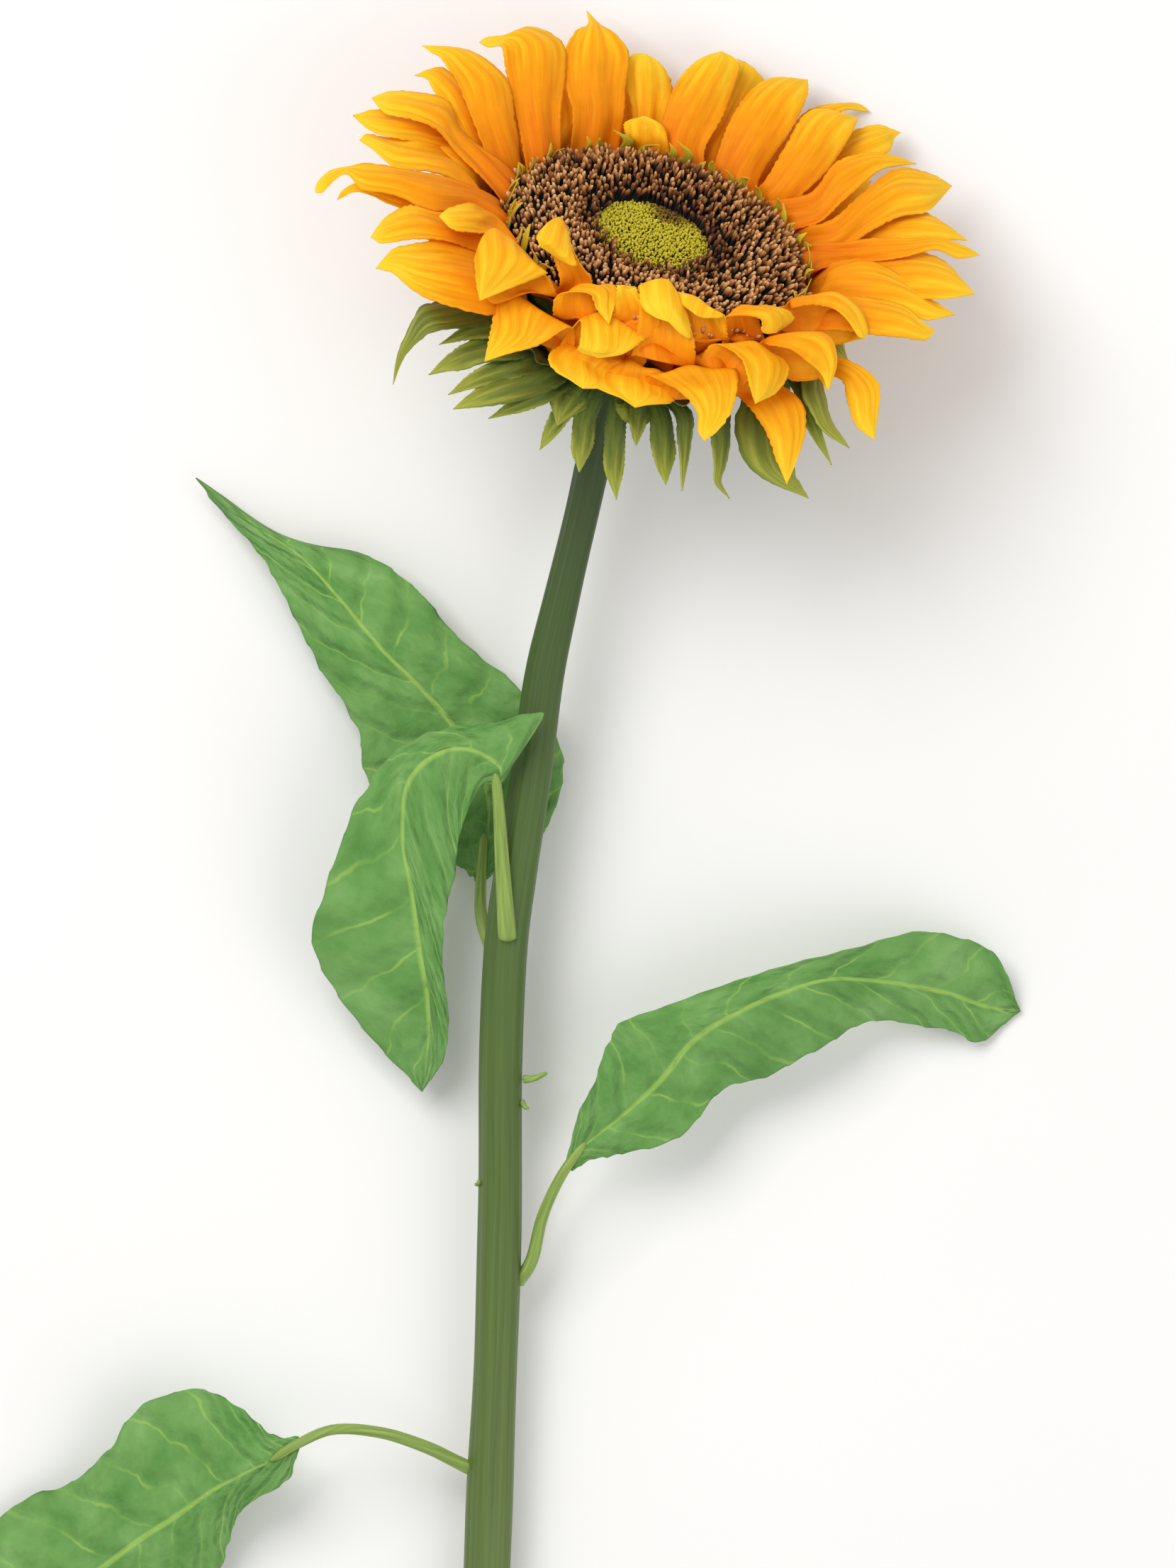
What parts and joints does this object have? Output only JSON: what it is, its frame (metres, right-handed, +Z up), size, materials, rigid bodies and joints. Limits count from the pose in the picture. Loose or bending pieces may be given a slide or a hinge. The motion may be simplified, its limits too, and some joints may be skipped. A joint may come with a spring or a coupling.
{
  "type": "cut sunflower",
  "caption": "Cut sunflower lying on its side: a long leafy stem with a nodding yellow ray head round a brown floret disc, for arranging or display.",
  "frame": {"origin": "centre of the flower's box, at the level of the surface it lies on", "axes": "+Y along the stem from its cut end to the head, +X to the right seen from above, +Z up out of the surface"},
  "size_m": [0.3117, 0.5599, 0.1195],
  "materials": {
    "stem_skin": "satin",
    "calyx_green": "matte",
    "floret_brown": "fuzzy matte",
    "eye_green": "fuzzy matte",
    "petal_yellow": "satin cloth, orange towards the root",
    "bract_green": "matte cloth",
    "leaf_green": "matte cloth with light veins"
  },
  "bodies": {
    "root": {"main_stem": "stem_skin", "receptacle": "calyx_green", "disc_florets": "floret_brown", "disc_eye": "eye_green", "ray_petal_01": "petal_yellow", "ray_petal_02": "petal_yellow", "ray_petal_03": "petal_yellow", "ray_petal_04": "petal_yellow", "ray_petal_05": "petal_yellow", "ray_petal_06": "petal_yellow", "ray_petal_07": "petal_yellow", "ray_petal_08": "petal_yellow", "ray_petal_09": "petal_yellow", "ray_petal_10": "petal_yellow", "ray_petal_11": "petal_yellow", "ray_petal_12": "petal_yellow", "ray_petal_13": "petal_yellow", "ray_petal_14": "petal_yellow", "ray_petal_15": "petal_yellow", "ray_petal_16": "petal_yellow", "ray_petal_17": "petal_yellow", "ray_petal_18": "petal_yellow", "ray_petal_19": "petal_yellow", "ray_petal_20": "petal_yellow", "ray_petal_21": "petal_yellow", "ray_petal_22": "petal_yellow", "ray_petal_23": "petal_yellow", "ray_petal_24": "petal_yellow", "ray_petal_25": "petal_yellow", "ray_petal_26": "petal_yellow", "ray_petal_27": "petal_yellow", "ray_petal_28": "petal_yellow", "ray_petal_29": "petal_yellow", "ray_petal_30": "petal_yellow", "ray_petal_31": "petal_yellow", "ray_petal_32": "petal_yellow", "ray_petal_33": "petal_yellow", "ray_petal_34": "petal_yellow", "ray_petal_35": "petal_yellow", "ray_petal_36": "petal_yellow", "bract_01": "bract_green", "bract_02": "bract_green", "bract_03": "bract_green", "bract_04": "bract_green", "bract_05": "bract_green", "bract_06": "bract_green", "bract_07": "bract_green", "bract_08": "bract_green", "bract_09": "bract_green", "bract_10": "bract_green", "bract_11": "bract_green", "bract_12": "bract_green", "bract_13": "bract_green", "bract_14": "bract_green", "bract_15": "bract_green", "bract_16": "bract_green", "upper_leaf": "leaf_green", "middle_leaf": "leaf_green", "right_leaf": "leaf_green", "lower_leaf": "leaf_green"}
  },
  "joints": []
}
